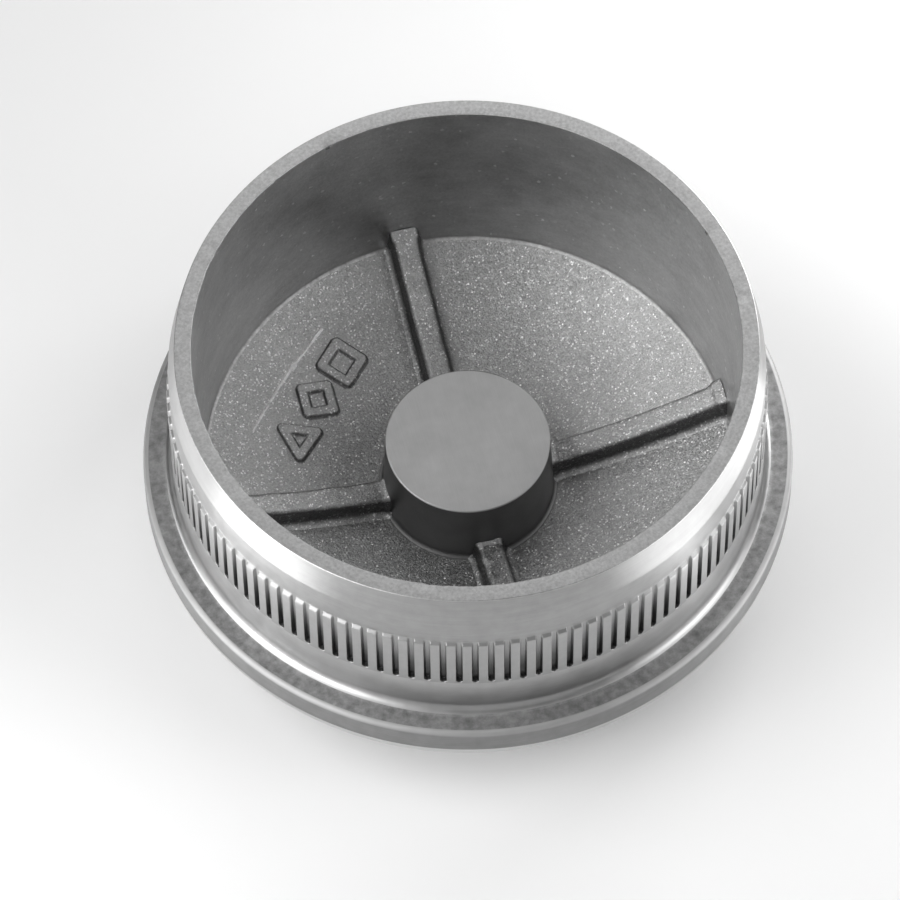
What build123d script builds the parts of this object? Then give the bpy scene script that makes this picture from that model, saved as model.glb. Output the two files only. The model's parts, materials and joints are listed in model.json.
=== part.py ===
from build123d import *

import math
import os

# Drive-in end cap for round handrail tube, cast in stainless steel.
# Millimetres. +Z is the cap's axis, from the domed face towards the open rim.
# The origin is the lowest point of the domed face. Rib 1 lies along +Y.
# The cap is a single casting: its features are written as separate solids
# that meet face to face.

# The tube that the cap closes, 42.4 x 2.0
tube_outside_diameter = 42.4
tube_bore = 38.4

# Head: domed face, flange and the shoulder that the tube's end sits on
flange_radius = tube_outside_diameter / 2
dome_radius = 60.0  # sphere of the outer face
edge_round = 1.6  # from the flange's side into the dome
shoulder_height = 6.95
shoulder_edge_round = 0.4
root_fillet = 0.7  # from the shoulder into the spigot

# Cavity: dished floor and a drafted wall
plate_thickness = 2.2  # on the axis
dish_radius = 48.0  # sphere of the floor
cavity_floor_radius = 17.3
cavity_mouth_radius = 17.54

# Spigot: a band that bites in the tube, knurled at its upper half
overall_height = 19.85
bite = 0.1  # of the band into the bore, on each side
clearance = 0.1  # between the wall above the band and the bore, on each side
bite_radius = tube_bore / 2 + bite
wall_radius = tube_bore / 2 - clearance
band_bed_radius = 18.7  # face between the spigot's wall and its bands
knurl_bottom = 10.45
knurl_top = 15.15
knurl_chamfer = 0.25  # height of the step from the band to the wall
lead_in_length = 2.2
rim_land_radius = 18.63  # outer edge of the flat rim

# Knurl: straight grooves that run out towards the rim
groove_count = 119
groove_width = 0.4
groove_depth_low = 0.32  # at the round lower end
groove_depth_high = 0.2  # at the open upper end
groove_reach = 1.0  # length of the cutter along the cap's radius

# Gate boss on the axis, ground flat on top
boss_top_radius = 5.38
boss_foot_radius = 5.62
boss_height = 7.9  # above the origin

# Four ribs of constant height that follow the dished floor
rib_count = 4
rib_top_width = 1.6
rib_foot_width = 2.0
rib_height = 1.5

# Raised cast marks in the quadrant between rib 1 and rib 2: a triangle, a lozenge and a square
mark_height = 0.3
mark_stroke = 0.75
mark_corner = 0.12
triangle_radius = 2.05
lozenge_radius = 1.75
square_side = 2.7
mark_row_radius = 11.45  # distance of the row from the axis
mark_row_angle = 136.0
mark_pitch = 3.2

# Derived places
band_base = shoulder_height + root_fillet
band_top = knurl_top + knurl_chamfer
edge_centre_radius = flange_radius - edge_round
edge_centre_height = dome_radius - math.sqrt((dome_radius - edge_round) ** 2 - edge_centre_radius**2)
dish_centre_height = plate_thickness + dish_radius


def dome_height(radius):
    """Height of the outer face at a distance from the axis."""
    return dome_radius - math.sqrt(dome_radius**2 - radius**2)


def floor_height(radius, above=0.0):
    """Height of the dished floor, or of a surface the given distance above it."""
    return dish_centre_height - math.sqrt((dish_radius - above) ** 2 - radius**2)


def cavity_radius(height):
    """Radius of the cavity's drafted wall at a height."""
    floor_edge = floor_height(cavity_floor_radius)
    share = (height - floor_edge) / (overall_height - floor_edge)
    return cavity_floor_radius + share * (cavity_mouth_radius - cavity_floor_radius)


def dome_tangent():
    """Point where the flange's rounded edge runs into the dome."""
    scale = dome_radius / (dome_radius - edge_round)
    return (edge_centre_radius * scale, dome_radius + (edge_centre_height - dome_radius) * scale)


def write_part(part, label):
    """Label a finished solid and write it as its own STEP file."""
    part.label = label
    export_step(part, f"parts/{label}.step")


os.makedirs("parts", exist_ok=True)

# --- Domed face: the round plate between the outer sphere and the dished floor
with BuildPart() as domed_face:
    with BuildSketch(Plane.XZ):
        with BuildLine():
            outer_mid = cavity_floor_radius / 2
            ThreePointArc(
                (0, 0),
                (outer_mid, dome_height(outer_mid)),
                (cavity_floor_radius, dome_height(cavity_floor_radius)),
            )
            Line(
                (cavity_floor_radius, dome_height(cavity_floor_radius)),
                (cavity_floor_radius, floor_height(cavity_floor_radius)),
            )
            ThreePointArc(
                (cavity_floor_radius, floor_height(cavity_floor_radius)),
                (outer_mid, floor_height(outer_mid)),
                (0, plate_thickness),
            )
            Line((0, plate_thickness), (0, 0))
        make_face()
    revolve(axis=Axis.Z)
write_part(domed_face.part, "domed_face")

# --- Flange ring: rounded outer edge, flat shoulder and the spigot's root fillet
with BuildPart() as flange_ring:
    with BuildSketch(Plane.XZ):
        with BuildLine():
            tangent = dome_tangent()
            dome_mid = (cavity_floor_radius + tangent[0]) / 2
            edge_angle = math.atan2(edge_centre_height - dome_radius, edge_centre_radius) / 2
            fillet_mid = root_fillet * (1 - math.sqrt(0.5))
            corner_mid = shoulder_edge_round * (1 - math.sqrt(0.5))
            side_top = shoulder_height - shoulder_edge_round
            ThreePointArc(
                (cavity_floor_radius, dome_height(cavity_floor_radius)),
                (dome_mid, dome_height(dome_mid)),
                tangent,
            )
            ThreePointArc(
                tangent,
                (
                    edge_centre_radius + edge_round * math.cos(edge_angle),
                    edge_centre_height + edge_round * math.sin(edge_angle),
                ),
                (flange_radius, edge_centre_height),
            )
            Line((flange_radius, edge_centre_height), (flange_radius, side_top))
            ThreePointArc(
                (flange_radius, side_top),
                (flange_radius - corner_mid, shoulder_height - corner_mid),
                (flange_radius - shoulder_edge_round, shoulder_height),
            )
            Line(
                (flange_radius - shoulder_edge_round, shoulder_height),
                (bite_radius + root_fillet, shoulder_height),
            )
            ThreePointArc(
                (bite_radius + root_fillet, shoulder_height),
                (bite_radius + fillet_mid, shoulder_height + fillet_mid),
                (bite_radius, band_base),
            )
            Line((bite_radius, band_base), (cavity_radius(band_base), band_base))
            Line(
                (cavity_radius(band_base), band_base),
                (cavity_floor_radius, floor_height(cavity_floor_radius)),
            )
            Line(
                (cavity_floor_radius, floor_height(cavity_floor_radius)),
                (cavity_floor_radius, dome_height(cavity_floor_radius)),
            )
        make_face()
    revolve(axis=Axis.Z)
write_part(flange_ring.part, "flange_ring")

# --- Spigot wall: the tube-shaped wall with its step, lead-in taper and flat rim
with BuildPart() as spigot_wall:
    with BuildSketch(Plane.XZ):
        with BuildLine():
            Polyline(
                (cavity_radius(band_base), band_base),
                (band_bed_radius, band_base),
                (band_bed_radius, band_top),
                (wall_radius, band_top),
                (wall_radius, overall_height - lead_in_length),
                (rim_land_radius, overall_height),
                (cavity_mouth_radius, overall_height),
                close=True,
            )
        make_face()
    revolve(axis=Axis.Z)
write_part(spigot_wall.part, "spigot_wall")

# --- Plain band: the smooth half of the band that bites in the tube
with BuildPart() as plain_band:
    with BuildSketch(Plane.XY.offset(band_base)):
        Circle(bite_radius)
        Circle(band_bed_radius, mode=Mode.SUBTRACT)
    extrude(amount=knurl_bottom - band_base)
write_part(plain_band.part, "plain_band")

# --- Groove cutter: a slot with a round lower end and a floor that slopes outwards
groove_plane = Plane(
    origin=(bite_radius - groove_depth_low, 0, knurl_bottom),
    x_dir=(0, 1, 0),
    z_dir=(1, 0, 0),
)
groove_length = band_top - knurl_bottom
floor_slope = math.degrees(math.atan2(groove_depth_low - groove_depth_high, groove_length))
with BuildPart() as groove_cutter:
    with BuildSketch(groove_plane):
        with Locations((0, groove_width / 2)):
            Circle(groove_width / 2)
            Rectangle(groove_width, groove_length, align=(Align.CENTER, Align.MIN))
    extrude(amount=groove_reach)
    split(bisect_by=groove_plane.rotated((0, floor_slope, 0)), keep=Keep.TOP)

# --- Knurled band: the grooved half, with a chamfered step to the wall above
with BuildPart() as knurled_band:
    with BuildSketch(Plane.XZ):
        with BuildLine():
            Polyline(
                (band_bed_radius, knurl_bottom),
                (bite_radius, knurl_bottom),
                (bite_radius, knurl_top),
                (wall_radius, band_top),
                (band_bed_radius, band_top),
                close=True,
            )
        make_face()
    revolve(axis=Axis.Z)
    with PolarLocations(0, groove_count):
        add(groove_cutter.part, mode=Mode.SUBTRACT)
write_part(knurled_band.part, "knurled_band")

# --- Gate boss: drafted round stub on the floor, flat on top
with BuildPart() as gate_boss:
    with BuildSketch(Plane.XZ):
        with BuildLine():
            foot_mid = boss_foot_radius / 2
            ThreePointArc(
                (0, plate_thickness),
                (foot_mid, floor_height(foot_mid)),
                (boss_foot_radius, floor_height(boss_foot_radius)),
            )
            Polyline(
                (boss_foot_radius, floor_height(boss_foot_radius)),
                (boss_top_radius, boss_height),
                (0, boss_height),
                (0, plate_thickness),
            )
        make_face()
    revolve(axis=Axis.Z)
write_part(gate_boss.part, "gate_boss")


# --- Ribs: a drafted section turned about a level axis through the dish's centre,
# so that each rib keeps its height above the floor from the boss to the wall
def rib(turn):
    """One rib, turned about the cap's axis from +Y."""
    foot_drop = 0.3  # below the floor, trimmed off by the plate
    sweep_start = math.degrees(math.asin(boss_top_radius / dish_radius)) / 2
    sweep_end = math.degrees(math.asin((cavity_floor_radius + band_bed_radius) / 2 / dish_radius))
    draft = (rib_foot_width - rib_top_width) / 2 / rib_height
    low_half_width = rib_foot_width / 2 + draft * foot_drop
    section_plane = Plane(
        origin=(0, 0, dish_centre_height),
        x_dir=(1, 0, 0),
        z_dir=(0, -math.cos(math.radians(sweep_start)), -math.sin(math.radians(sweep_start))),
    )
    with BuildPart() as one_rib:
        with BuildSketch(section_plane):
            with BuildLine():
                Polyline(
                    (-low_half_width, -dish_radius - foot_drop),
                    (low_half_width, -dish_radius - foot_drop),
                    (rib_top_width / 2, -dish_radius + rib_height),
                    (-rib_top_width / 2, -dish_radius + rib_height),
                    close=True,
                )
            make_face()
        turning_axis = Axis((0, 0, dish_centre_height), (1, 0, 0))
        revolve(axis=turning_axis, revolution_arc=sweep_end - sweep_start)
        add(domed_face.part, mode=Mode.SUBTRACT)
        add(gate_boss.part, mode=Mode.SUBTRACT)
        add(flange_ring.part, mode=Mode.SUBTRACT)
    return one_rib.part.rotate(Axis.Z, turn)


for number in range(rib_count):
    write_part(rib(number * 360 / rib_count), f"rib_{number + 1}")

# --- Cast marks: three plain geometric marks, raised from the floor
mark_row_normal = (math.cos(math.radians(mark_row_angle)), math.sin(math.radians(mark_row_angle)), 0)
mark_row_centre = (mark_row_radius * mark_row_normal[0], mark_row_radius * mark_row_normal[1], 0)
mark_plane = Plane(
    origin=mark_row_centre,
    x_dir=(mark_row_normal[1], -mark_row_normal[0], 0),
    z_dir=(0, 0, 1),
)
with BuildPart() as cast_marks:
    with BuildSketch(mark_plane) as mark_outlines:
        with Locations((-mark_pitch, -triangle_radius / 4)):
            RegularPolygon(triangle_radius, 3, rotation=90)
            RegularPolygon(triangle_radius - 2 * mark_stroke, 3, rotation=90, mode=Mode.SUBTRACT)
        with Locations((0, 0)):
            RegularPolygon(lozenge_radius, 4)
            RegularPolygon(lozenge_radius - math.sqrt(2) * mark_stroke, 4, mode=Mode.SUBTRACT)
        with Locations((mark_pitch, 0)):
            Rectangle(square_side, square_side)
            Rectangle(square_side - 2 * mark_stroke, square_side - 2 * mark_stroke, mode=Mode.SUBTRACT)
        fillet(mark_outlines.vertices(), radius=mark_corner)
    extrude(amount=floor_height(cavity_floor_radius, mark_height))
    with BuildSketch(Plane.XZ, mode=Mode.PRIVATE) as layer_section:
        with BuildLine():
            layer_mid = cavity_floor_radius / 2
            ThreePointArc(
                (0, plate_thickness),
                (layer_mid, floor_height(layer_mid)),
                (cavity_floor_radius, floor_height(cavity_floor_radius)),
            )
            Line(
                (cavity_floor_radius, floor_height(cavity_floor_radius)),
                (cavity_floor_radius, floor_height(cavity_floor_radius, mark_height)),
            )
            ThreePointArc(
                (cavity_floor_radius, floor_height(cavity_floor_radius, mark_height)),
                (layer_mid, floor_height(layer_mid, mark_height)),
                (0, plate_thickness + mark_height),
            )
            Line((0, plate_thickness + mark_height), (0, plate_thickness))
        make_face()
    revolve(layer_section.sketch, axis=Axis.Z, mode=Mode.INTERSECT)
write_part(cast_marks.part, "cast_marks")
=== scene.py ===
"""Drive-in end cap for round handrail tube: its looks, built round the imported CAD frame."""

import json
import math

import bmesh
import bpy
import numpy as np
from mathutils import Matrix, Vector


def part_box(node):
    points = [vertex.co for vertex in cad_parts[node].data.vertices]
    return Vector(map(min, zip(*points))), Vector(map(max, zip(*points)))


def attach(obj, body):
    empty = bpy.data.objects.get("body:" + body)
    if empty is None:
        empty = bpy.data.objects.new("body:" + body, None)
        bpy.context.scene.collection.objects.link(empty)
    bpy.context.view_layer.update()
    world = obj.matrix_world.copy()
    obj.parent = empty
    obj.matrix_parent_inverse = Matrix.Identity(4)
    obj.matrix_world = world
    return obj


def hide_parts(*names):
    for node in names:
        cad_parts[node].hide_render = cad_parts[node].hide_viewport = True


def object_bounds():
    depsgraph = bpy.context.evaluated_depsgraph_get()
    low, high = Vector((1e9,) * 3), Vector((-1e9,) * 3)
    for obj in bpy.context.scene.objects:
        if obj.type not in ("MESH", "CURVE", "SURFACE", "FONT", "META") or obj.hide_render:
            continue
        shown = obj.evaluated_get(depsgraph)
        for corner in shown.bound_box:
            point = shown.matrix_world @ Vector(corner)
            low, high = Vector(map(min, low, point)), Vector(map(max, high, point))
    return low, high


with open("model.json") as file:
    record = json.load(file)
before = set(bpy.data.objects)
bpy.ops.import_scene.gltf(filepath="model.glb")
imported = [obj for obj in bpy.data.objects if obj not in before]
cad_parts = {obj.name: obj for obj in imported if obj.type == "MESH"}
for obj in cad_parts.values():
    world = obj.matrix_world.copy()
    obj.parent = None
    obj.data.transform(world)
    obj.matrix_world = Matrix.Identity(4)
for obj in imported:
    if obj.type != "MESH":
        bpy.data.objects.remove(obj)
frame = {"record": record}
cad_low, cad_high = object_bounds()

# Lengths below are in millimetres, in the CAD frame: +Z is the cap's axis, rib 1 lies along +Y.
MM = 0.001


def box_mm(node):
    """Lowest and highest corner of a CAD node in millimetres."""
    low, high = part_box(node)
    return low / MM, high / MM


mounts = {m["name"]: m for m in frame["record"]["mounts"]}
_, plate_high = box_mm("domed_face")
_, flange_high = box_mm("flange_ring")
wall_low, wall_high = box_mm("spigot_wall")
knurl_low, knurl_high = box_mm("knurled_band")
boss_low, boss_high = box_mm("gate_boss")

flange_radius = flange_high.x
floor_radius = plate_high.x
floor_edge_height = plate_high.z
wall_radius = wall_high.x
rim_height = wall_high.z
bite_radius = knurl_high.x
band_base = wall_low.z
knurl_bottom = knurl_low.z
knurl_end = knurl_high.z
boss_foot_radius = boss_high.x
boss_height = boss_high.z
plate_thickness = boss_low.z
shoulder_height = mounts["shoulder"]["pos_m"][2] / MM

# Sizes that the boxes don't hold
dome_radius = 60.0
edge_round = 1.6
shoulder_edge_round = 0.4
root_fillet = 0.7
corner_fillet = 0.34  # between the floor and the cavity's wall
mouth_radius = 17.54
rim_land_radius = 18.63
rim_inner_round = 0.07
rim_outer_round = 0.06
lead_in_length = 2.2
lead_in_round = 1.2
bed_radius = 18.7  # the cylinder that the two bands are laid on
boss_top_radius = 5.38
boss_edge_round = 0.1
boss_foot_fillet = 0.3
rib_top_half = 0.8
rib_foot_half = 1.0
rib_rise = 1.5
rib_edge_round = 0.42
rib_foot_fillet = 0.62
knurl_step = 0.25
groove_count = 119
groove_half = 0.175
groove_deep = 0.32
groove_shallow = 0.2

# The matt ring that the tube's end rests on, between the root fillet and the rounded edge
shoulder_inner = bite_radius + root_fillet * 0.6
shoulder_outer = flange_radius - shoulder_edge_round * 0.9

# How pieces meet
seam_lap = 0.1  # how far past a CAD boundary a visual piece runs, to end on a straight stretch
plate_edge = floor_radius - 0.5  # the plate ends here, clear of the wall's fillet
under = 0.35  # how far the boss, the ribs and the marks reach down into the plate

dish_rise = floor_edge_height - plate_thickness
dish_radius = (floor_radius**2 + dish_rise**2) / (2 * dish_rise)
dish_centre = plate_thickness + dish_radius


def dish(radius):
    """Height of the dished floor."""
    return dish_centre - math.sqrt(dish_radius**2 - radius**2)


def dome(radius):
    """Height of the domed outer face."""
    return dome_radius - math.sqrt(dome_radius**2 - radius**2)


def cavity(height):
    """Radius of the drafted cavity wall."""
    share = (height - floor_edge_height) / (rim_height - floor_edge_height)
    return floor_radius + share * (mouth_radius - floor_radius)


# ---------------------------------------------------------------- mesh tools


def rounded(corners, step_deg=7.0):
    """Points along a closed outline. Each corner is (x, y) or (x, y, radius of its rounding)."""
    out = []
    count = len(corners)
    for i, corner in enumerate(corners):
        here = np.array(corner[:2], float)
        radius = corner[2] if len(corner) > 2 else 0.0
        if radius <= 0:
            out.append(here)
            continue
        before = np.array(corners[i - 1][:2], float) - here
        after = np.array(corners[(i + 1) % count][:2], float) - here
        before /= np.linalg.norm(before)
        after /= np.linalg.norm(after)
        opening = math.acos(np.clip(before @ after, -1, 1))
        middle = (before + after) / np.linalg.norm(before + after)
        centre = here + middle * radius / math.sin(opening / 2)
        first = here + before * radius / math.tan(opening / 2) - centre
        last = here + after * radius / math.tan(opening / 2) - centre
        sweep = math.pi - opening
        steps = max(2, math.ceil(math.degrees(sweep) / step_deg))
        for k in range(steps + 1):
            t = k / steps
            part = math.sin((1 - t) * sweep) * first + math.sin(t * sweep) * last
            out.append(centre + part / math.sin(sweep))
    return [tuple(p) for p in out]


def run(start, end, count):
    """Points after start and before end on a straight line."""
    start, end = np.array(start), np.array(end)
    return [tuple(start + (end - start) * k / count) for k in range(1, count)]


def smooth(t):
    """S-curve that rises from 0 to 1 as t does."""
    t = np.clip(t, 0, 1)
    return t * t * (3 - 2 * t)


class Waves:
    """Smooth seeded noise in space: a sum of plane waves about one size long, near -1 to 1."""

    def __init__(self, size, seed, count=28):
        rng = np.random.default_rng(seed)
        heading = rng.normal(size=(count, 3))
        heading /= np.linalg.norm(heading, axis=1)[:, None]
        self.k = heading * (2 * math.pi / size * rng.uniform(0.6, 1.5, count))[:, None]
        self.phase = rng.uniform(0, 2 * math.pi, count)
        self.gain = math.sqrt(2 * count) / 2

    def __call__(self, points):
        return np.sin(points @ self.k.T + self.phase).mean(axis=1) * self.gain


def ring_mesh(rings, closed=True):
    """Vertices and faces of a stack of rings, each an (n, 3) array. Closed: the last joins the first."""
    n = len(rings[0])
    verts = np.vstack(rings)
    index = np.arange(len(rings) * n).reshape(len(rings), n)
    if closed:
        index = np.vstack([index, index[:1]])
    ahead = np.roll(index, -1, axis=1)
    faces = np.stack([index[:-1], ahead[:-1], ahead[1:], index[1:]], axis=2).reshape(-1, 4)
    return verts, faces.tolist()


def turned(profile, segments=360):
    """A closed outline of (radius, height) points turned about the cap's axis."""
    angle = np.arange(segments) * 2 * math.pi / segments
    circle = np.stack([np.cos(angle), np.sin(angle), np.zeros(segments)], axis=1)
    rings = [circle * r + np.array([0, 0, z]) for r, z in profile]
    return ring_mesh(rings, closed=max(profile[0][0], profile[-1][0]) > 0)


def make_piece(name, verts, faces, materials, nodes, sharp_deg=38.0):
    """A welded, smooth-shaded closed mesh that stands for CAD nodes and rides on the one body."""
    mesh = bpy.data.meshes.new(name)
    mesh.from_pydata([tuple(v * MM) for v in verts], [], faces)
    bm = bmesh.new()
    bm.from_mesh(mesh)
    bmesh.ops.remove_doubles(bm, verts=bm.verts, dist=1e-8)
    bmesh.ops.recalc_face_normals(bm, faces=bm.faces)
    bm.to_mesh(mesh)
    bm.free()
    mesh.shade_smooth()
    mesh.set_sharp_from_angle(angle=math.radians(sharp_deg))
    obj = bpy.data.objects.new(name, mesh)
    bpy.context.scene.collection.objects.link(obj)
    for material in materials:
        mesh.materials.append(material)
    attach(obj, "root")
    if nodes:
        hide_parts(*nodes)
    return obj


def paint(obj, surface):
    """Gives each face the material whose number surface(radius, height) returns at its centre."""
    for face in obj.data.polygons:
        centre = face.center / MM
        face.material_index = surface(math.hypot(centre.x, centre.y), centre.z)


# ---------------------------------------------------------------- materials


class Nodes:
    """Short calls for building one material's node tree."""

    def __init__(self, name):
        self.material = bpy.data.materials.new(name)
        self.material.use_nodes = True
        self.tree = self.material.node_tree
        self.shader = self.tree.nodes["Principled BSDF"]
        self.place = self.add("ShaderNodeTexCoord").outputs["Object"]
        split = self.add("ShaderNodeSeparateXYZ", {"Vector": self.place})
        self.x, self.y, self.z = split.outputs
        squares = [self.math("MULTIPLY", side, side) for side in (self.x, self.y)]
        self.radius = self.math("SQRT", self.math("ADD", *squares))

    def add(self, kind, inputs=None, **settings):
        node = self.tree.nodes.new(kind)
        for key, value in settings.items():
            setattr(node, key, value)
        for key, value in (inputs or {}).items():
            self.put(node.inputs[key], value)
        return node

    def put(self, socket, value):
        """Links another node's output to a socket, or sets the socket's own value."""
        if isinstance(value, bpy.types.NodeSocket):
            self.tree.links.new(value, socket)
        else:
            socket.default_value = value

    def math(self, operation, a, b=0.0, c=0.0):
        inputs = {0: a, 1: b, 2: c}
        return self.add("ShaderNodeMath", inputs, operation=operation).outputs[0]

    def vector(self, operation, *values, **more):
        """A vector operation on its first inputs in order, and on more of them by name."""
        inputs = dict(enumerate(values), **more)
        outputs = self.add("ShaderNodeVectorMath", inputs, operation=operation).outputs
        return outputs["Value" if operation == "DOT_PRODUCT" else "Vector"]

    def total(self, base, *parts):
        """base plus each (value, weight) of parts."""
        for value, weight in parts:
            base = self.math("MULTIPLY_ADD", value, weight, base)
        return base

    def noise(self, scale, detail=2.0, rough=0.5, at=None):
        at = at if at is not None else self.place
        inputs = {"Vector": at, "Scale": scale, "Detail": detail, "Roughness": rough}
        return self.add("ShaderNodeTexNoise", inputs).outputs[0]

    def ramp(self, value, low, high, out_low=0.0, out_high=1.0):
        """A smooth step from out_low, where value is low, to out_high, where it is high."""
        reach = {"From Min": low, "From Max": high, "To Min": out_low, "To Max": out_high}
        inputs = {"Value": value, **reach}
        return self.add("ShaderNodeMapRange", inputs, interpolation_type="SMOOTHSTEP").outputs[0]

    def zone(self, value, start, end, at_start=0.0, at_end=1.0):
        """A ramp over a radius or a height, from start to end in millimetres."""
        return self.ramp(value, start * MM, end * MM, at_start, at_end)

    def relief(self, normal, *layers):
        """Bumps one over the other, each a (height, distance), on a normal or on None."""
        for height, distance in layers:
            inputs = {"Height": height, "Distance": distance, "Strength": 1.0}
            if normal is not None:
                inputs["Normal"] = normal
            normal = self.add("ShaderNodeBump", inputs).outputs[0]
        return normal

    def along_dish(self):
        """1 where the surface runs along the dished floor, 0 where it stands square on it."""
        inward = self.vector("SUBTRACT", (0.0, 0.0, dish_centre * MM), self.place)
        inward = self.vector("NORMALIZE", inward)
        facing = self.add("ShaderNodeTexCoord").outputs["Normal"]
        return self.vector("DOT_PRODUCT", inward, facing)

    def lathe_lines(self, fineness, spread):
        """Noise that is fine across the turning marks and long along them."""
        across = self.math("ADD", self.radius, self.z)
        across = self.math("MULTIPLY", across, fineness)
        cosine = self.math("MULTIPLY", self.math("DIVIDE", self.x, self.radius), spread)
        sine = self.math("MULTIPLY", self.math("DIVIDE", self.y, self.radius), spread)
        at = self.add("ShaderNodeCombineXYZ", {"X": across, "Y": cosine, "Z": sine}).outputs[0]
        return self.noise(1.0, 2.0, 0.6, at)

    def glitter(self, scale, tilt, share):
        """One small facet per cell: a normal that leans its own way, and a mask of the few that lean
        furthest, which the callers paint lighter as glints.
        """
        cells = self.add("ShaderNodeTexVoronoi", {"Vector": self.place, "Scale": scale})
        colour = cells.outputs["Color"]
        pick = self.add("ShaderNodeTexWhiteNoise", {"Vector": colour}).outputs["Value"]
        reach = {"Value": pick, "From Min": 1 - share, "From Max": 1.0}
        bright = self.math("POWER", self.add("ShaderNodeMapRange", reach).outputs[0], 1.6)
        lean = self.vector("SUBTRACT", colour, (0.5, 0.5, 0.5))
        lean = self.vector("SCALE", lean, Scale=self.total(tilt * 0.35, (bright, tilt * 0.65)))
        facing = self.add("ShaderNodeNewGeometry").outputs["Normal"]
        normal = self.vector("NORMALIZE", self.vector("ADD", facing, lean))
        return normal, bright

    def metal(self, tone, rough, normal):
        """Makes the shader a grey metal and returns the material."""
        grey = self.add("ShaderNodeCombineColor", {"Red": tone, "Green": tone, "Blue": tone})
        self.put(self.shader.inputs["Base Color"], grey.outputs[0])
        self.shader.inputs["Metallic"].default_value = 1.0
        self.put(self.shader.inputs["Roughness"], rough)
        self.put(self.shader.inputs["Normal"], normal)
        return self.material


def steel_cast():
    """As-cast, bead-blasted steel: grain with painted glints, a few pits, painted shade on steep sides
    and near the boss, and a painted highlight towards the wall.
    """
    n = Nodes("cast_steel_grain")
    broad = n.noise(260.0)
    mottle = n.noise(1500.0, 3.0, 0.6)
    grain = n.noise(8200.0, 3.0, 0.7)
    facets, bright = n.glitter(10500.0, tilt=0.75, share=0.16)
    pits = n.add("ShaderNodeTexVoronoi", {"Vector": n.place, "Scale": 300.0})
    whole = n.ramp(pits.outputs["Distance"], 0.015, 0.035)
    # Painted shade: darker where the surface stands steep to the dished floor, on rib flanks and the
    # marks' sides.
    steep_side_shade = n.ramp(n.along_dish(), 0.3, 0.985, 0.3, 1.0)
    # Painted shade near the boss and a painted highlight towards the wall: the tone runs from 0.84 to
    # 1.11 times across the floor.
    boss_shade_to_wall_highlight = n.zone(n.radius, boss_foot_radius, floor_radius, 0.84, 1.11)
    tone = n.total(0.02, (broad, 0.10), (mottle, 0.12), (grain, 0.54))
    tone = n.math("MULTIPLY", tone, n.total(0.5, (whole, 0.5)))
    # Painted glints: the few bright facets get a lighter colour.
    tone = n.total(tone, (bright, 0.55))
    tone = n.math("MULTIPLY", n.math("MULTIPLY", tone, steep_side_shade), boss_shade_to_wall_highlight)
    rough = n.total(0.28, (grain, 0.24))
    normal = n.relief(facets, (grain, 4.5e-5), (mottle, 2.5e-5), (whole, 2.0e-5))
    return n.metal(tone, rough, normal)


def steel_wall():
    """The cavity's smoother cast wall: soft grain, faint smears round it, small specks with a painted
    glint.
    """
    n = Nodes("cast_steel_wall")
    broad = n.noise(240.0)
    grain = n.noise(5200.0, 3.0, 0.65)
    smear = n.lathe_lines(1400.0, 9.0)
    facets, bright = n.glitter(5200.0, tilt=0.24, share=0.02)
    # Painted glints: the bright facets get a lighter colour.
    tone = n.total(0.22, (broad, 0.34), (grain, 0.26), (smear, 0.20), (bright, 0.30))
    rough = n.total(0.29, (broad, 0.16))
    normal = n.relief(facets, (grain, 1.2e-5), (smear, 1.0e-5))
    return n.metal(tone, rough, normal)


def steel_turned():
    """Fine-turned satin steel. The scuffed rim is brighter, the flange's edge duller, its side darker in
    painted shade, and all below the knurl lighter as painted light.
    """
    n = Nodes("turned_steel_satin")
    lines = n.lathe_lines(16000.0, 5.0)
    wide_lines = n.lathe_lines(3200.0, 3.0)
    mottle = n.noise(900.0, 3.0, 0.6)
    rim = n.zone(n.z, rim_height - 0.08, rim_height - 0.02)
    lip = n.zone(n.radius, mouth_radius + 0.12, mouth_radius + 0.03)
    # Painted light: everything below the knurl's lower end is made lighter.
    band = n.zone(n.z, knurl_bottom + 0.1, knurl_bottom - 0.1)
    edge = n.zone(n.radius, shoulder_outer - 0.15, shoulder_outer)
    # Painted shade: the flange's side is darker.
    side = n.zone(n.z, shoulder_height - 0.15, shoulder_height - 0.4)
    scuffs = n.math("MULTIPLY", n.noise(4800.0, 3.0, 0.7), rim)
    tone = n.total(0.22, (lines, 0.06), (wide_lines, 0.06), (mottle, 0.12))
    tone = n.total(tone, (rim, -0.03), (scuffs, 0.52), (band, 0.16))
    tone = n.total(tone, (edge, -0.06), (side, -0.17), (lip, -0.06))
    rough = n.total(0.30, (mottle, 0.12), (lip, 0.3), (edge, 0.24))
    normal = n.relief(None, (lines, 2.0e-6), (mottle, 4.0e-6))
    return n.metal(tone, rough, normal)


def steel_shoulder():
    """The matt, slightly blotched ring that the tube's end rests on."""
    n = Nodes("turned_steel_matt")
    lines = n.lathe_lines(9000.0, 5.0)
    blotch = n.noise(1900.0, 3.0, 0.65)
    broad = n.noise(420.0)
    tone = n.total(0.04, (blotch, 0.40), (broad, 0.14))
    rough = n.total(0.68, (blotch, -0.16))
    normal = n.relief(None, (blotch, 1.2e-5), (lines, 3.0e-6))
    return n.metal(tone, rough, normal)


def steel_seam(name, gain):
    """Lighter metal, broken up by the grain: the bright mould line, and the floor's duller corner at the
    wall, where the lightness is a painted highlight.
    """
    n = Nodes(name)
    grain = n.noise(5200.0, 3.0, 0.7)
    patches = n.noise(1300.0)
    tone = n.total(0.1, (grain, 0.8), (patches, 0.9))
    tone = n.math("MINIMUM", n.math("MULTIPLY", tone, gain), 0.95)
    rough = n.total(0.45, (grain, 0.2))
    normal = n.relief(None, (grain, 4.0e-5))
    return n.metal(tone, rough, normal)


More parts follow.
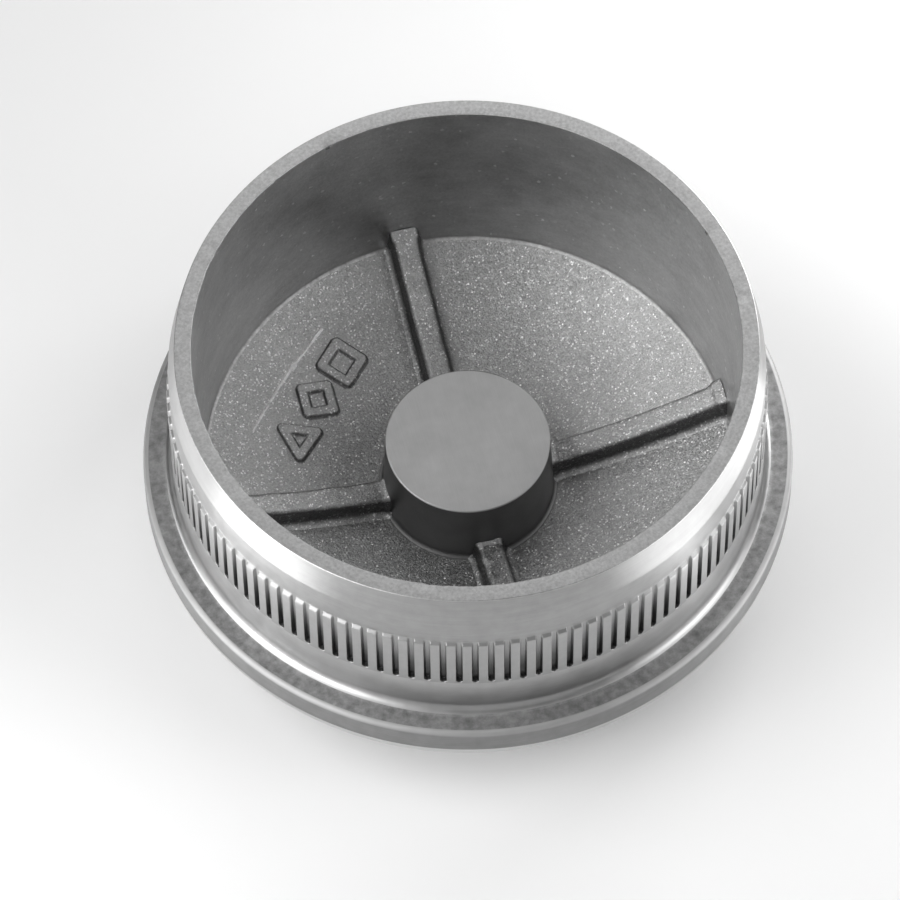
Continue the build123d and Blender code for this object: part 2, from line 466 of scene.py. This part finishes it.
def steel_knurled():
    """The turned steel on the knurl's teeth, with dull groove floors darkened as painted shade that
    lightens towards their open tops.
    """
    n = Nodes("turned_steel_knurl")
    lines = n.lathe_lines(12000.0, 5.0)
    mottle = n.noise(1600.0, 3.0, 0.6)
    crest = n.zone(n.radius, bite_radius - 0.05, bite_radius - 0.005)
    # Painted shade in the grooves, fading upwards as painted light towards their open tops; the crests
    # stay unshaded.
    groove_top_light = n.zone(n.z, knurl_bottom + 0.8, knurl_end - 0.1)
    unshaded_mask = n.math("MAXIMUM", crest, groove_top_light)
    tone = n.total(0.04, (mottle, 0.08), (unshaded_mask, 0.31))
    rough = n.total(0.44, (crest, -0.08))
    normal = n.relief(None, (lines, 2.0e-6), (mottle, 5.0e-6))
    return n.metal(tone, rough, normal)


def steel_ground():
    """The boss: a ground top with fine straight scratches, and a smoother cast side darkened as painted
    shade.
    """
    n = Nodes("ground_steel_boss")
    turn = (0, 0, math.radians(28))
    strokes = {"Vector": n.place, "Rotation": turn, "Scale": (20000.0, 420.0, 1.0)}
    along_strokes = n.add("ShaderNodeMapping", strokes).outputs[0]
    top = n.zone(n.z, boss_height - 0.12, boss_height - 0.04)
    scratches = n.math("MULTIPLY", n.noise(1.0, 2.0, 0.6, along_strokes), top)
    stains = n.math("MULTIPLY", n.noise(700.0, 3.0, 0.6), top)
    grain = n.math("MULTIPLY", n.noise(5200.0, 3.0, 0.6), n.math("SUBTRACT", 1.0, top))
    broad = n.noise(350.0)
    # Painted shade: the side's tone is far lower than the top's.
    tone = n.total(0.12, (top, 0.24), (scratches, 0.08), (stains, 0.10), (broad, 0.08))
    rough = n.total(0.42, (top, -0.06), (broad, 0.06))
    normal = n.relief(None, (scratches, 1.2e-6), (grain, 1.6e-5))
    return n.metal(tone, rough, normal)


def steel_dome():
    """The outer face: brushed satin, with short curved strokes round the axis."""
    n = Nodes("brushed_steel_dome")
    strokes = n.lathe_lines(9000.0, 7.0)
    long_strokes = n.lathe_lines(2600.0, 2.5)
    mottle = n.noise(500.0, 3.0, 0.6)
    tone = n.total(0.46, (strokes, 0.10), (mottle, 0.06))
    rough = n.total(0.22, (strokes, 0.16))
    normal = n.relief(None, (strokes, 2.5e-6), (long_strokes, 5.0e-6))
    return n.metal(tone, rough, normal)


cast_steel = steel_cast()
wall_steel = steel_wall()
turned_steel = steel_turned()
matt_steel = steel_shoulder()
seam_steel = steel_seam("cast_steel_seam", 0.85)
# Painted highlight: the floor's corner at the wall is lighter than the floor.
corner_steel = steel_seam("cast_steel_corner", 0.64)
knurl_steel = steel_knurled()
ground_steel = steel_ground()
dome_steel = steel_dome()

# ---------------------------------------------------------------- pieces

# --- Plate: the dished, grained floor inside and the domed face outside
floor_rings = 46
plate_radii = [plate_edge * k / floor_rings for k in range(floor_rings + 1)]
plate_outline = [(r, dish(r)) for r in plate_radii]
plate_outline += [(r, dome(r)) for r in reversed(plate_radii)]
verts, faces = turned(plate_outline)
plate = make_piece(
    "domed_plate", verts, faces, [cast_steel, dome_steel], ["domed_face"]
)
paint(plate, lambda radius, z: 0 if z > (dome(radius) + dish(radius)) / 2 else 1)

# --- Flange: shoulder, rounded edges, root fillet, and the cavity's corner
edge_centre_radius = flange_radius - edge_round
edge_centre_drop = math.sqrt((dome_radius - edge_round) ** 2 - edge_centre_radius**2)
edge_centre_height = dome_radius - edge_centre_drop
tangent_radius = edge_centre_radius * dome_radius / (dome_radius - edge_round)
flange_top = band_base + seam_lap
dome_steps = 12
edge_steps = 12
flange_outline = [(plate_edge, dish(plate_edge))]
for k in range(dome_steps + 1):
    r = plate_edge + (tangent_radius - plate_edge) * k / dome_steps
    flange_outline.append((r, dome(r)))
edge_start = -math.atan2(edge_centre_drop, edge_centre_radius)
for k in range(1, edge_steps + 1):
    turn = edge_start * (1 - k / edge_steps)
    r = edge_centre_radius + edge_round * math.cos(turn)
    flange_outline.append((r, edge_centre_height + edge_round * math.sin(turn)))
flange_outline += [
    (flange_radius, shoulder_height, shoulder_edge_round),
    (bite_radius, shoulder_height, root_fillet),
    (bite_radius, flange_top),
    (cavity(flange_top), flange_top),
    (floor_radius, floor_edge_height, corner_fillet),
]
flange_materials = [turned_steel, cast_steel, dome_steel, matt_steel, wall_steel, corner_steel]
TURNED, CAST, DOME, MATT, WALL, CORNER = range(len(flange_materials))


def flange_surface(radius, z):
    """Number of the flange's material at a radius and a height."""
    if radius < bed_radius:
        if z > floor_edge_height + corner_fillet * 0.2:
            return WALL
        if radius > floor_radius - corner_fillet and z > floor_edge_height - 0.2:
            return CORNER
        if z > floor_edge_height - 1.0:
            return CAST
    if z < edge_centre_height:
        return DOME
    on_shoulder = shoulder_inner < radius < shoulder_outer and z > shoulder_height - 0.1
    return MATT if on_shoulder else TURNED


verts, faces = turned(rounded(flange_outline))
flange = make_piece("flange", verts, faces, flange_materials, ["flange_ring"])
paint(flange, flange_surface)

# --- Smooth band under the knurl
knurl_start = knurl_bottom - seam_lap
band_outline = [
    (bed_radius, flange_top),
    (bite_radius, flange_top),
    (bite_radius, knurl_start),
    (bed_radius, knurl_start),
]
verts, faces = turned(band_outline)
make_piece("smooth_band", verts, faces, [turned_steel], ["plain_band"])

# --- Spigot: wall, lead-in taper, flat rim with a slightly nicked inner edge
knurl_sink = 0.05  # how far the wall's top face lies below the knurl's end, to be covered by it
inner_top = rim_height - 0.3
inner_rows = 40
inner_heights = [
    inner_top + (flange_top - inner_top) * k / inner_rows for k in range(inner_rows + 1)
]
spigot_outline = [
    (bed_radius, flange_top),
    (bed_radius, knurl_end - knurl_sink),
    (wall_radius, knurl_end - knurl_sink),
    (wall_radius, rim_height - lead_in_length, lead_in_round),
    (rim_land_radius, rim_height, rim_outer_round),
    (mouth_radius, rim_height, rim_inner_round),
]
spigot_outline += [(cavity(z), z) for z in inner_heights]
verts, faces = turned(rounded(spigot_outline))

nick_reach = 0.3
nick_depth = 0.05
nick_threshold = 0.25  # the waves' height above which the edge is nicked
fine_ripple = Waves(1.1, seed=12)
radius = np.hypot(verts[:, 0], verts[:, 1])
from_edge = np.stack([radius - mouth_radius, verts[:, 2] - rim_height]) / nick_reach
near_edge = np.exp(-(from_edge**2).sum(axis=0))
nick = np.clip(fine_ripple(verts) - nick_threshold, 0, None) * nick_depth * near_edge
outward = verts[:, :2] / radius[:, None]
verts[:, :2] += outward * nick[:, None]
verts[:, 2] -= nick
spigot = make_piece(
    "spigot", verts, faces, [turned_steel, wall_steel], ["spigot_wall"]
)
paint(spigot, lambda radius, z: int(radius < mouth_radius + 0.02 and z < rim_height - 0.1))

# --- Knurl: straight grooves with a round lower end, which run out at the top
rng = np.random.default_rng(7)
pitch = 2 * math.pi * bite_radius / groove_count
# Columns of vertices to each side of a groove's middle, closest on its flank
half_columns = np.array([0.08, 0.13, 0.175, 0.22, 0.27, 0.39])
across = np.concatenate([-half_columns[::-1], [0.0], half_columns, [pitch / 2]])
groove_number = np.repeat(np.arange(groove_count), len(across))
local_x = np.tile(across, groove_count)
theta = groove_number * 2 * math.pi / groove_count + local_x / bite_radius
own_depth = rng.uniform(0.92, 1.06, groove_count)[groove_number]
own_width = rng.uniform(0.94, 1.06, groove_count)[groove_number]
own_start = rng.uniform(-0.03, 0.03, groove_count)[groove_number]
# The teeth fall to the wall in an S-curve that starts before the step and ends past it
fall_start = knurl_end - knurl_step - 0.06
fall_end = knurl_end + 0.02
# Rows of vertices: lap, round end, straight part, fall
rows = np.concatenate(
    [
        knurl_start + np.array([0, 0.04]),
        knurl_bottom + np.array([-0.02, 0.01, 0.04, 0.07, 0.10, 0.14, 0.18, 0.23, 0.28, 0.36]),
        knurl_bottom + np.array([0.6, 1.2, 2.0, 2.8, 3.5, 4.1]),
        np.linspace(fall_start, fall_end, 12),
    ]
)
flank_width = 0.08
end_gap = 0.025  # smooth metal between the band and a groove's round end
end_centre = knurl_bottom + end_gap + groove_half + own_start


def knurl_ring(radii, z):
    """One ring of the knurl's vertices."""
    return np.stack([radii * np.cos(theta), radii * np.sin(theta), np.full_like(theta, z)], axis=1)


knurl_rings = []
for z in rows:
    fall = smooth((z - fall_start) / (fall_end - fall_start))
    crest = bite_radius - (bite_radius - wall_radius) * fall
    below = np.clip(end_centre - z, 0, None)
    distance = np.hypot(local_x, below) - groove_half * own_width
    inside = smooth(0.5 - distance / flank_width)
    share = np.clip((z - knurl_bottom) / (knurl_end - knurl_bottom), 0, 1)
    depth = (groove_deep + (groove_shallow - groove_deep) * share) * own_depth
    groove_floor = np.minimum(crest, bite_radius - depth)
    knurl_rings.append(knurl_ring(crest + (groove_floor - crest) * inside, z))
knurl_rings += [knurl_ring(np.full_like(theta, bed_radius), z) for z in (rows[-1], rows[0])]
verts, faces = ring_mesh(knurl_rings)
make_piece(
    "knurl", verts, faces, [knurl_steel], ["knurled_band"], sharp_deg=60.0
)

# --- Boss: drafted stub with a ground top, a small fillet and a thin skirt on the floor
skirt = 0.6
skirt_sink = 0.002
foot_height = dish(boss_foot_radius)
foot_slope = boss_foot_radius / math.sqrt(dish_radius**2 - boss_foot_radius**2)
skirt_radius = boss_foot_radius + skirt
boss_outline = [
    (0, boss_height),
    *run((0, boss_height), (boss_top_radius - 0.3, boss_height), 8),
    (boss_top_radius, boss_height, boss_edge_round),
    (boss_foot_radius, foot_height, boss_foot_fillet),
    (skirt_radius, foot_height + skirt * foot_slope - skirt_sink),
    (skirt_radius, foot_height - under),
    (0, plate_thickness - under),
]
verts, faces = turned(rounded(boss_outline), 240)
make_piece("boss", verts, faces, [ground_steel], ["gate_boss"])

# --- Ribs: rounded, slightly uneven bars that follow the dish and flare into wall and boss
flare_size = 0.16
flare_reach = 0.6
toe = 0.8  # thin flat part on the floor past the foot's fillet
toe_sink = 0.003
sway_size = 0.035
sway_foot = 0.5  # height over which the unevenness grows from nothing
sway_sideways = 0.4
stations = np.concatenate(
    [
        np.linspace(boss_top_radius - 0.4, boss_foot_radius + 0.9, 16),
        np.linspace(boss_foot_radius + 1.1, floor_radius - 1.1, 56),
        np.linspace(floor_radius - 0.9, floor_radius + 0.6, 20),
    ]
)


def flare(distance):
    """How much a rib grows at a distance from the surface that it runs into."""
    return flare_size * max(0.0, 1 - max(distance, 0.0) / flare_reach) ** 2


def rib_section(extra):
    """Half widths and heights round one closed section of a rib."""
    foot = rib_foot_half + extra
    top = rib_top_half + extra
    rise = rib_rise + extra
    return rounded(
        [
            (-foot - toe, -under),
            (-foot - toe, -toe_sink),
            (-foot, -toe_sink, rib_foot_fillet),
            (-top, rise, rib_edge_round),
            (top, rise, rib_edge_round),
            (foot, -toe_sink, rib_foot_fillet),
            (foot + toe, -toe_sink),
            (foot + toe, -under),
        ],
        step_deg=10.0,
    )


for number in range(4):
    turn = number * math.pi / 2
    c, s = math.cos(turn), math.sin(turn)
    uneven = Waves(1.6, seed=30 + number)
    sections = []
    for station in stations:
        extra = flare(floor_radius - station) + flare(station - boss_foot_radius)
        section = np.array(rib_section(extra))
        lean = math.asin(station / dish_radius)
        reach = dish_radius - section[:, 1]
        x, y, z = section[:, 0], reach * math.sin(lean), dish_centre - reach * math.cos(lean)
        sway = uneven(np.stack([x, y, z], axis=1)) * sway_size
        lifted = np.clip(section[:, 1] / sway_foot, 0, 1)
        z = z + sway * lifted
        x = x + np.roll(sway, 3) * lifted * sway_sideways  # shifted, so it's unlike the height's
        sections.append(np.stack([c * x - s * y, s * x + c * y, z], axis=1))
    verts, faces = ring_mesh(sections, closed=False)
    first = np.arange(len(sections[0]))
    last = first + len(verts) - len(first)
    faces += [first.tolist(), last.tolist()]
    name, node = f"cast_rib_{number + 1}", f"rib_{number + 1}"
    make_piece(name, verts, faces, [cast_steel], [node])


# --- Cast marks and mould line: raised shapes on the floor, from a height over a fine grid
def raised_shape(outline_distance, width, length, centre, heading, top, edge, cell=0.055):
    """Closed mesh of a shape that rises from the floor. outline_distance(x, y) is negative inside it."""
    flank_shift = 0.35  # share of the flank's width that lies outside the outline
    sink = 0.004
    shallowest = -0.0035  # cells that nowhere rise over this height are left out
    unevenness = 0.02
    nx, ny = int(width / cell), int(length / cell)
    gx, gy = np.meshgrid(
        np.linspace(-width / 2, width / 2, nx), np.linspace(-length / 2, length / 2, ny), indexing="ij"
    )
    t = np.clip(flank_shift - outline_distance(gx, gy) / edge, 0, 1)
    height = top * smooth(t) - sink
    keep = height > shallowest
    keep_cell = keep[:-1, :-1] | keep[1:, :-1] | keep[:-1, 1:] | keep[1:, 1:]
    c, s = math.cos(heading), math.sin(heading)
    x = centre[0] + c * gx - s * gy
    y = centre[1] + s * gx + c * gy
    floor_height = dish_centre - np.sqrt(dish_radius**2 - x**2 - y**2)
    ripple = fine_ripple(np.stack([x, y, floor_height], axis=-1).reshape(-1, 3)).reshape(x.shape)
    lift = height + ripple * unevenness * t
    upper = np.stack([x, y, floor_height + lift], axis=-1).reshape(-1, 3)
    lower = np.stack([x, y, floor_height - under], axis=-1).reshape(-1, 3)
    index = np.arange(nx * ny).reshape(nx, ny)
    corners = np.stack([index[:-1, :-1], index[1:, :-1], index[1:, 1:], index[:-1, 1:]], axis=-1)
    quads = corners[keep_cell].tolist()
    border = {}  # edges that only one quad has
    for quad in quads:
        for a, b in zip(quad, quad[1:] + quad[:1]):
            if (b, a) in border:
                del border[(b, a)]
            else:
                border[(a, b)] = True
    offset = nx * ny
    faces = quads + [[q + offset for q in reversed(quad)] for quad in quads]
    faces += [[b, a, a + offset, b + offset] for a, b in border]
    used = sorted({v for f in faces for v in f})
    renumber = {v: i for i, v in enumerate(used)}
    both = np.vstack([upper, lower])[used]
    return both, [[renumber[v] for v in f] for f in faces]


def polygon_distance(sides, inradius, turn):
    """Signed distance to a regular polygon, rounded outside its corners."""
    corner = inradius / math.cos(math.pi / sides)
    angles = turn + 2 * math.pi * np.arange(sides) / sides
    points = np.stack([corner * np.cos(angles), corner * np.sin(angles)], axis=1)

    def distance(x, y):
        p = np.stack([x, y], axis=-1)
        nearest = np.full(x.shape, np.inf)
        inside = np.ones(x.shape, bool)
        for a, b in zip(points, np.roll(points, -1, axis=0)):
            along = b - a
            t = np.clip(((p - a) @ along) / (along @ along), 0, 1)
            nearest = np.minimum(nearest, np.linalg.norm(p - a - t[..., None] * along, axis=-1))
            inside &= (along[0] * (y - a[1]) - along[1] * (x - a[0])) > 0
        return np.where(inside, -nearest, nearest)

    return distance


def frame_distance(sides, outer_inradius, stroke, turn):
    """Signed distance to a polygon's frame of one stroke width."""
    middle = polygon_distance(sides, outer_inradius - stroke / 2, turn)
    return lambda x, y: np.abs(middle(x, y)) - stroke / 2


mark_angle = math.radians(136.0)  # where the middle of the row lies, round the axis
mark_row_radius = 11.45
mark_pitch = 3.2
mark_height = 0.3
mark_stroke = 0.75
mark_flank = 0.22
mark_patch = 5.0
triangle_inradius = 2.05 / 2
lozenge_inradius = 1.75 / math.sqrt(2)
square_inradius = 2.7 / 2
mark_heading = mark_angle - math.pi / 2
normal_way = np.array([math.cos(mark_angle), math.sin(mark_angle)])
row_way = np.array([normal_way[1], -normal_way[0]])
# Along the row, outward, number of sides, inradius, turn of the first corner
marks = (
    (-mark_pitch, -triangle_inradius / 2, 3, triangle_inradius, math.pi / 2),
    (0.0, 0.0, 4, lozenge_inradius, 0.0),
    (mark_pitch, 0.0, 4, square_inradius, math.pi / 4),
)
mark_verts, mark_faces = [], []
count = 0
for along, up, sides, inradius, turn in marks:
    shape = frame_distance(sides, inradius, mark_stroke, turn)
    centre = normal_way * (mark_row_radius + up) + row_way * along
    verts, faces = raised_shape(
        shape, mark_patch, mark_patch, centre, mark_heading, mark_height, mark_flank
    )
    mark_verts.append(verts)
    mark_faces += [[v + count for v in f] for f in faces]
    count += len(verts)
verts = np.vstack(mark_verts)
make_piece("raised_marks", verts, mark_faces, [cast_steel], ["cast_marks"], 70.0)

line_radius = 13.82
line_half = 4.47
line_half_width = 0.065
line_height = 0.1
line_flank = 0.14
line_bow = 0.25
blister_radius = 0.2
blister_stretch = 1.6
blister_place = 1.1
bend = Waves(2.4, seed=5)


def line_distance(x, y):
    """Signed distance to a thin, slightly bowed seam with one small blister on it."""
    drift = bend(np.stack([x, x * 0, x * 0], axis=-1).reshape(-1, 3)).reshape(x.shape)
    half = line_half_width + 0.035 * drift
    off_seam = y - (line_bow * (1 - (x / line_half) ** 2) - 0.1 + 0.05 * drift)
    seam = np.hypot(np.clip(np.abs(x) - line_half, 0, None), off_seam) - half
    blister = np.hypot((x - blister_place) / blister_stretch, off_seam) - blister_radius
    return np.minimum(seam, blister)


verts, faces = raised_shape(
    line_distance,
    width=9.6,
    length=1.2,
    centre=normal_way * line_radius,
    heading=mark_heading,
    top=line_height,
    edge=line_flank,
    cell=0.045,
)
make_piece("mould_line", verts, faces, [seam_steel], [], 70.0)

# ---------------------------------------------------------------- stage, camera, lights

# The photograph's viewpoint: a long lens, well above the rim
view_turn = math.radians(-13.5)
view_rise = math.radians(59.5192)
view_roll = 0.01593505
view_distance = 427.78
aim_right = 1.185
aim_up = -1.084
aim_height = 4.551
lens = 260.957
sensor_width = 36.0


def seen(x, y, z):
    """A point given as right, away and up from the camera's side, in the CAD frame, in metres."""
    c, s = math.cos(view_turn), math.sin(view_turn)
    return Vector((c * x - s * y, s * x + c * y, z)) * MM


rise_sine, rise_cosine = math.sin(view_rise), math.cos(view_rise)
roll_sine, roll_cosine = math.sin(view_roll), math.cos(view_roll)
unit = 1 / MM  # seen() gives a vector of length 1 for this
right = seen(unit, 0, 0)
up = seen(0, unit * rise_sine, unit * rise_cosine)
ahead = seen(0, unit * rise_cosine, -unit * rise_sine)
cam_right = roll_cosine * right - roll_sine * up
cam_up = roll_sine * right + roll_cosine * up
target = Vector((0, 0, aim_height * MM)) - (aim_right * cam_right + aim_up * cam_up) * MM
camera_place = Matrix.Translation(target - ahead * view_distance * MM)
camera_turn = Matrix((cam_right, cam_up, -ahead)).transposed().to_4x4()

camera_data = bpy.data.cameras.new("camera")
camera_data.lens = lens
camera_data.sensor_width = sensor_width
camera_data.clip_start = 0.01
camera_data.clip_end = 10.0
camera = bpy.data.objects.new("camera", camera_data)
bpy.context.scene.collection.objects.link(camera)
camera.matrix_world = camera_place @ camera_turn
bpy.context.scene.camera = camera

# Metres, unlike the rest: a sheet of white paper just under the cap
paper_half = 3.0
paper_gap = 0.00002
paper_albedo = 0.92
corners = [(-1, -1), (1, -1), (1, 1), (-1, 1)]
floor_mesh = bpy.data.meshes.new("studio_floor")
floor_mesh.from_pydata(
    [(x * paper_half, y * paper_half, 0) for x, y in corners], [], [(0, 1, 2, 3)]
)
floor = bpy.data.objects.new("studio_floor", floor_mesh)
bpy.context.scene.collection.objects.link(floor)
floor.location.z = cad_low.z - paper_gap
paper = Nodes("studio_paper")
tone = paper.total(paper_albedo, (paper.noise(40.0), 0.02))
grey = paper.add("ShaderNodeCombineColor", {"Red": tone, "Green": tone, "Blue": tone})
paper.put(paper.shader.inputs["Base Color"], grey.outputs[0])
paper.shader.inputs["Roughness"].default_value = 0.9
paper.shader.inputs["Specular IOR Level"].default_value = 0.2
floor_mesh.materials.append(paper.material)

world = bpy.data.worlds.new("studio")
world.use_nodes = True
background = world.node_tree.nodes["Background"]
background.inputs["Color"].default_value = (1.0, 1.0, 1.0, 1.0)
background.inputs["Strength"].default_value = 0.03
bpy.context.scene.world = world


def around(bearing, distance, height):
    """A point round the axis. Bearing 0 is towards the camera, 90 to its right; millimetres in."""
    turn = math.radians(bearing)
    return seen(distance * math.sin(turn), -distance * math.cos(turn), height)


def soft_light(name, place, aim, width, height, watts):
    """A soft rectangular light at a place, facing a point."""
    data = bpy.data.lights.new(name, "AREA")
    data.shape = "RECTANGLE"
    data.size = width * MM
    data.size_y = height * MM
    data.energy = watts
    light = bpy.data.objects.new(name, data)
    bpy.context.scene.collection.objects.link(light)
    light.location = place
    light.rotation_euler = (aim - place).to_track_quat("-Z", "Y").to_euler()
    light.visible_camera = False


# A light tent: softboxes above, low panels just over the table, and small cards that lie on it
softbox_distance = 300
softbox_aim = around(0, 0, 8)
for name, bearing, rise, side, watts in (
    ("left_softbox", 268, 52, 170, 0.28),
    ("left_front_softbox", 315, 50, 150, 0.08),
    ("right_softbox", 90, 50, 150, 0.135),
    ("back_softbox", 180, 45, 150, 0.068),
    ("top_softbox", 180, 70, 150, 0.031),
    ("overhead_softbox", 0, 75, 250, 0.044),
):
    out = softbox_distance * math.cos(math.radians(rise))
    high = softbox_distance * math.sin(math.radians(rise))
    soft_light(name, around(bearing, out, high), softbox_aim, side, side, watts)

panel_gap = 14
for name, bearing, distance, width, height, watts in (
    ("front_panel", 0, 140, 160, 90, 0.018),
    ("left_panel", 290, 130, 78, 90, 0.048),
    ("right_panel", 70, 130, 78, 90, 0.066),
    ("back_right_panel", 135, 75, 45, 50, 0.041),
    ("left_front_panel", 315, 75, 45, 50, 0.024),
):
    middle = height / 2 + panel_gap
    soft_light(name, around(bearing, distance, middle), around(0, 0, middle), width, height, watts)

card_distance = 42
card_height = 0.3
card_side = 22
for name, bearing, watts in (
    ("left_card", 270, 0.0020),
    ("left_front_card", 300, 0.0054),
    ("right_front_card", 60, 0.0036),
    ("right_card", 90, 0.0040),
):
    place = around(bearing, card_distance, card_height)
    straight_up = around(bearing, card_distance, card_height + card_side)
    soft_light(name, place, straight_up, card_side, card_side, watts)

view = bpy.context.scene.view_settings
view.view_transform = "Standard"
view.look = "None"
